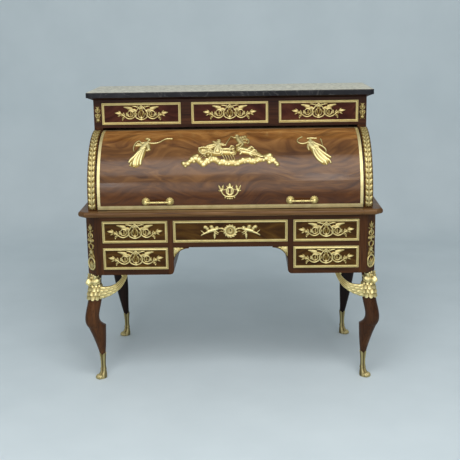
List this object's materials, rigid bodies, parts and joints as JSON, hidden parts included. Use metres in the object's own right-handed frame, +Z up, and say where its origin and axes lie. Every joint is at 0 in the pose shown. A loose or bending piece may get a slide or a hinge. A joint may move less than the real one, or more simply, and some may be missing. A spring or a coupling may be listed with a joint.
{
  "type": "cylinder desk",
  "caption": "Mahogany cylinder desk with gilt mounts: a roll front over a pull-out writing slide, drawers under a marble top and in the base, on winged lion legs.",
  "frame": {"origin": "on the floor under the middle of the ledge", "axes": "+X to the viewer's right along the width, +Y to the back, +Z up"},
  "size_m": [1.3, 0.7, 1.263],
  "materials": {
    "mahogany": "polished dark mahogany",
    "flame_veneer": "polished flame mahogany veneer",
    "oak": "plain oak",
    "gilt_bronze": "mercury-gilt bronze",
    "lock_brass": "satin brass",
    "iron": "blackened iron",
    "steel": "turned steel",
    "dark_marble": "polished dark marble",
    "green_leather": "tooled leather"
  },
  "bodies": {
    "desk": {"bracket_mounts": "gilt_bronze", "case_back": "oak", "case_boards": "mahogany", "case_sides": "mahogany", "corner_posts": "mahogany", "cornice": "mahogany", "cylinder_pivots": "steel", "drawer_runners": "oak", "foliage_strips": "gilt_bronze", "front_leg_left": "mahogany", "front_leg_right": "mahogany", "front_paws": "gilt_bronze", "front_rails": "mahogany", "kneehole_brackets": "mahogany", "ledge": "mahogany", "lion_left": "gilt_bronze", "lion_right": "gilt_bronze", "marble_top": "dark_marble", "nest_case": "mahogany", "partitions": "mahogany", "post_mounts": "gilt_bronze", "rear_legs": "mahogany", "rear_paws": "gilt_bronze", "side_left": "mahogany", "side_right": "mahogany", "slide_bearers": "mahogany", "stile_mounts": "gilt_bronze", "upper_back": "oak", "upper_case": "mahogany"},
    "roll_front": {"cylinder_panel": "flame_veneer", "cylinder_trim": "gilt_bronze", "cylinder_arms": "iron", "cylinder_handles": "gilt_bronze", "cylinder_escutcheon": "gilt_bronze", "chariot_mount": "gilt_bronze", "dancer_left": "gilt_bronze", "dancer_right": "gilt_bronze", "cylinder_lock": "lock_brass"},
    "writing_slide": {"slide_board": "mahogany", "slide_leather": "green_leather"},
    "drawer_top_left": {"drawer_top_left": "flame_veneer", "bronzes_top_left": "gilt_bronze"},
    "drawer_top_centre": {"drawer_top_centre": "flame_veneer", "bronzes_top_centre": "gilt_bronze"},
    "drawer_top_right": {"drawer_top_right": "flame_veneer", "bronzes_top_right": "gilt_bronze"},
    "drawer_left_upper": {"drawer_left_upper": "flame_veneer", "bronzes_left_upper": "gilt_bronze"},
    "drawer_left_lower": {"drawer_left_lower": "flame_veneer", "bronzes_left_lower": "gilt_bronze"},
    "drawer_centre": {"drawer_centre": "flame_veneer", "bronzes_centre": "gilt_bronze"},
    "drawer_right_upper": {"drawer_right_upper": "flame_veneer", "bronzes_right_upper": "gilt_bronze"},
    "drawer_right_lower": {"drawer_right_lower": "flame_veneer", "bronzes_right_lower": "gilt_bronze"},
    "nest_drawer_left": {"nest_drawer_left": "mahogany"},
    "nest_drawer_centre": {"nest_drawer_centre": "mahogany"},
    "nest_drawer_right": {"nest_drawer_right": "mahogany"}
  },
  "joints": [
    {"name": "roll_front_turn", "type": "hinge", "parent": "desk", "child": "roll_front", "pos_m": [0, -0.048, 0.83], "axis": [-1, 0, 0], "range_deg": [0, 75]},
    {"name": "writing_slide_pull", "type": "slide", "parent": "desk", "child": "writing_slide", "axis": [0, -1, 0], "range_m": [0, 0.25]},
    {"name": "drawer_top_left_pull", "type": "slide", "parent": "desk", "child": "drawer_top_left", "axis": [0, -1, 0], "range_m": [0, 0.24]},
    {"name": "drawer_top_centre_pull", "type": "slide", "parent": "desk", "child": "drawer_top_centre", "axis": [0, -1, 0], "range_m": [0, 0.24]},
    {"name": "drawer_top_right_pull", "type": "slide", "parent": "desk", "child": "drawer_top_right", "axis": [0, -1, 0], "range_m": [0, 0.24]},
    {"name": "drawer_left_upper_pull", "type": "slide", "parent": "desk", "child": "drawer_left_upper", "axis": [0, -1, 0], "range_m": [0, 0.36]},
    {"name": "drawer_left_lower_pull", "type": "slide", "parent": "desk", "child": "drawer_left_lower", "axis": [0, -1, 0], "range_m": [0, 0.36]},
    {"name": "drawer_centre_pull", "type": "slide", "parent": "desk", "child": "drawer_centre", "axis": [0, -1, 0], "range_m": [0, 0.36]},
    {"name": "drawer_right_upper_pull", "type": "slide", "parent": "desk", "child": "drawer_right_upper", "axis": [0, -1, 0], "range_m": [0, 0.36]},
    {"name": "drawer_right_lower_pull", "type": "slide", "parent": "desk", "child": "drawer_right_lower", "axis": [0, -1, 0], "range_m": [0, 0.36]},
    {"name": "nest_drawer_left_pull", "type": "slide", "parent": "desk", "child": "nest_drawer_left", "axis": [0, -1, 0], "range_m": [0, 0.12]},
    {"name": "nest_drawer_centre_pull", "type": "slide", "parent": "desk", "child": "nest_drawer_centre", "axis": [0, -1, 0], "range_m": [0, 0.12]},
    {"name": "nest_drawer_right_pull", "type": "slide", "parent": "desk", "child": "nest_drawer_right", "axis": [0, -1, 0], "range_m": [0, 0.12]}
  ]
}
